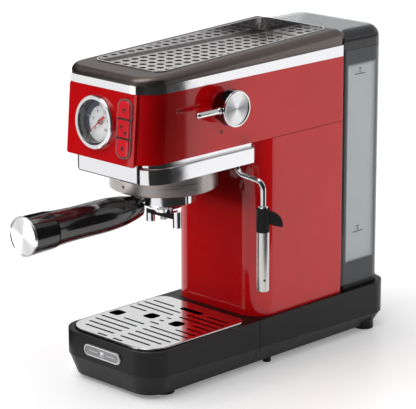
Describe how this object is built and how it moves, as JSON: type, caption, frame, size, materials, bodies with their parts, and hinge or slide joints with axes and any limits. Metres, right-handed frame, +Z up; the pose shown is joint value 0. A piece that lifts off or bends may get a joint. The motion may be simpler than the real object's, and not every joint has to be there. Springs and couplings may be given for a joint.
{
  "type": "espresso machine",
  "caption": "Slim red espresso machine with pressure gauge, push buttons, steam wand, portafilter, drip tray, cup warmer and rear smoked water tank.",
  "frame": {"origin": "middle of the outline on the ground, under the feet", "axes": "+X to the machine's right, +Y to its back (the front faces -Y), +Z up"},
  "size_m": [0.1724, 0.484, 0.3519],
  "materials": {
    "red_paint": "gloss red lacquer on pressed steel",
    "chrome_trim": "mirror plated",
    "steel_brushed": "brushed in rings or lines",
    "steel_polished": "polished",
    "cap_satin": "satin warm grey",
    "base_plastic": "satin black",
    "black_gloss": "gloss black",
    "frame_grey": "satin grey",
    "button_red": "gloss red",
    "rubber_black": "soft black",
    "seal_red": "silicone",
    "tank_smoke": "clear smoke plastic",
    "lens_clear": "clear",
    "dial_white": "printed dial",
    "needle_red": "gloss",
    "disc_aluminium": "spun and polished",
    "cast_aluminium": "as cast",
    "zinc_steel": "zinc plated",
    "brass_part": "machined",
    "board_green": "lacquered",
    "badge_grey": "satin",
    "hose_clear": "silicone"
  },
  "bodies": {
    "machine": {"rear_base": "base_plastic", "base_cover": "base_plastic", "base_screws": "zinc_steel", "base_feet": "rubber_black", "column_shell": "red_paint", "head_shell": "red_paint", "front_fascia": "red_paint", "chrome_band": "chrome_trim", "top_cap": "cap_satin", "cup_warmer_plate": "steel_brushed", "cup_rail": "chrome_trim", "gauge_bezel": "chrome_trim", "gauge_case": "black_gloss", "gauge_dial": "dial_white", "gauge_lens": "lens_clear", "button_frame": "frame_grey", "button_board": "board_green", "steam_valve": "brass_part", "group_housing": "chrome_trim", "housing_front_plate": "chrome_trim", "group_ring": "steel_brushed", "group_collar": "cast_aluminium", "group_gasket": "seal_red", "shower_screen": "steel_brushed", "shower_screw": "zinc_steel", "boiler": "cast_aluminium", "tank_seat": "base_plastic", "pump": "zinc_steel", "pump_mounts": "rubber_black", "inner_frame": "zinc_steel", "inlet_hose": "hose_clear", "hot_pipes": "hose_clear", "control_board": "board_green", "cord_gland": "rubber_black"},
    "needle": {"gauge_needle": "needle_red"},
    "one_cup_button": {"button_one_cup": "button_red"},
    "two_cups_button": {"button_two_cups": "button_red"},
    "steam_button": {"button_steam": "button_red"},
    "knob": {"steam_knob": "chrome_trim", "knob_disc": "disc_aluminium", "knob_shaft": "brass_part", "steam_lever": "chrome_trim"},
    "wand": {"wand_pipe": "chrome_trim", "wand_collar": "chrome_trim", "wand_grip": "rubber_black", "wand_nozzle": "steel_brushed"},
    "sleeve": {"frother_sleeve": "steel_brushed"},
    "portafilter": {"filter_bowl": "chrome_trim", "filter_basket": "steel_brushed", "spout": "chrome_trim", "spout_screw": "steel_brushed", "handle_grip": "black_gloss", "handle_end_cap": "disc_aluminium"},
    "tray": {"drip_tray": "base_plastic", "badge": "badge_grey", "tray_feet": "rubber_black"},
    "grid": {"drip_grid": "steel_polished"},
    "tank": {"tank_body": "tank_smoke", "tank_valve": "base_plastic"},
    "lid": {"tank_lid": "tank_smoke"}
  },
  "joints": [
    {"name": "needle_sweep", "type": "hinge", "parent": "machine", "child": "needle", "pos_m": [-0.0229, -0.13429, 0.28617], "axis": [0, -0.9965, 0.0837], "range_deg": [-270, 0], "stiffness_Nm_per_rad": 0.002},
    {"name": "one_cup_press", "type": "slide", "parent": "machine", "child": "one_cup_button", "axis": [0, 0.9965, -0.0837], "range_m": [0, 0.0015], "stiffness_N_per_m": 900},
    {"name": "two_cups_press", "type": "slide", "parent": "machine", "child": "two_cups_button", "axis": [0, 0.9965, -0.0837], "range_m": [0, 0.0015], "stiffness_N_per_m": 900},
    {"name": "steam_press", "type": "slide", "parent": "machine", "child": "steam_button", "axis": [0, 0.9965, -0.0837], "range_m": [0, 0.0015], "stiffness_N_per_m": 900},
    {"name": "steam_lever_turn", "type": "hinge", "parent": "machine", "child": "knob", "pos_m": [0.0644, -0.0265, 0.297], "axis": [1, 0, 0], "range_deg": [0, 90]},
    {"name": "wand_swing", "type": "hinge", "parent": "machine", "child": "wand", "pos_m": [0.0364, 0.0095, 0.22], "axis": [0, 0, 1], "range_deg": [-75, 20]},
    {"name": "sleeve_pull", "type": "slide", "parent": "wand", "child": "sleeve", "axis": [0, 0, -1], "range_m": [0, 0.03]},
    {"name": "portafilter_twist", "type": "hinge", "parent": "machine", "child": "portafilter", "pos_m": [-0.0156, -0.0479, 0.19], "axis": [0, 0, 1], "range_deg": [-45, 0]},
    {"name": "tray_pull", "type": "slide", "parent": "machine", "child": "tray", "axis": [0, -1, 0], "range_m": [0, 0.15]},
    {"name": "grid_lift", "type": "slide", "parent": "tray", "child": "grid", "axis": [0, 0, 1], "range_m": [0, 0.05]},
    {"name": "tank_lift", "type": "slide", "parent": "machine", "child": "tank", "axis": [0, 0, 1], "range_m": [0, 0.12]},
    {"name": "lid_open", "type": "hinge", "parent": "tank", "child": "lid", "pos_m": [-0.0156, 0.2325, 0.3262], "axis": [-1, 0, 0], "range_deg": [0, 75]}
  ]
}
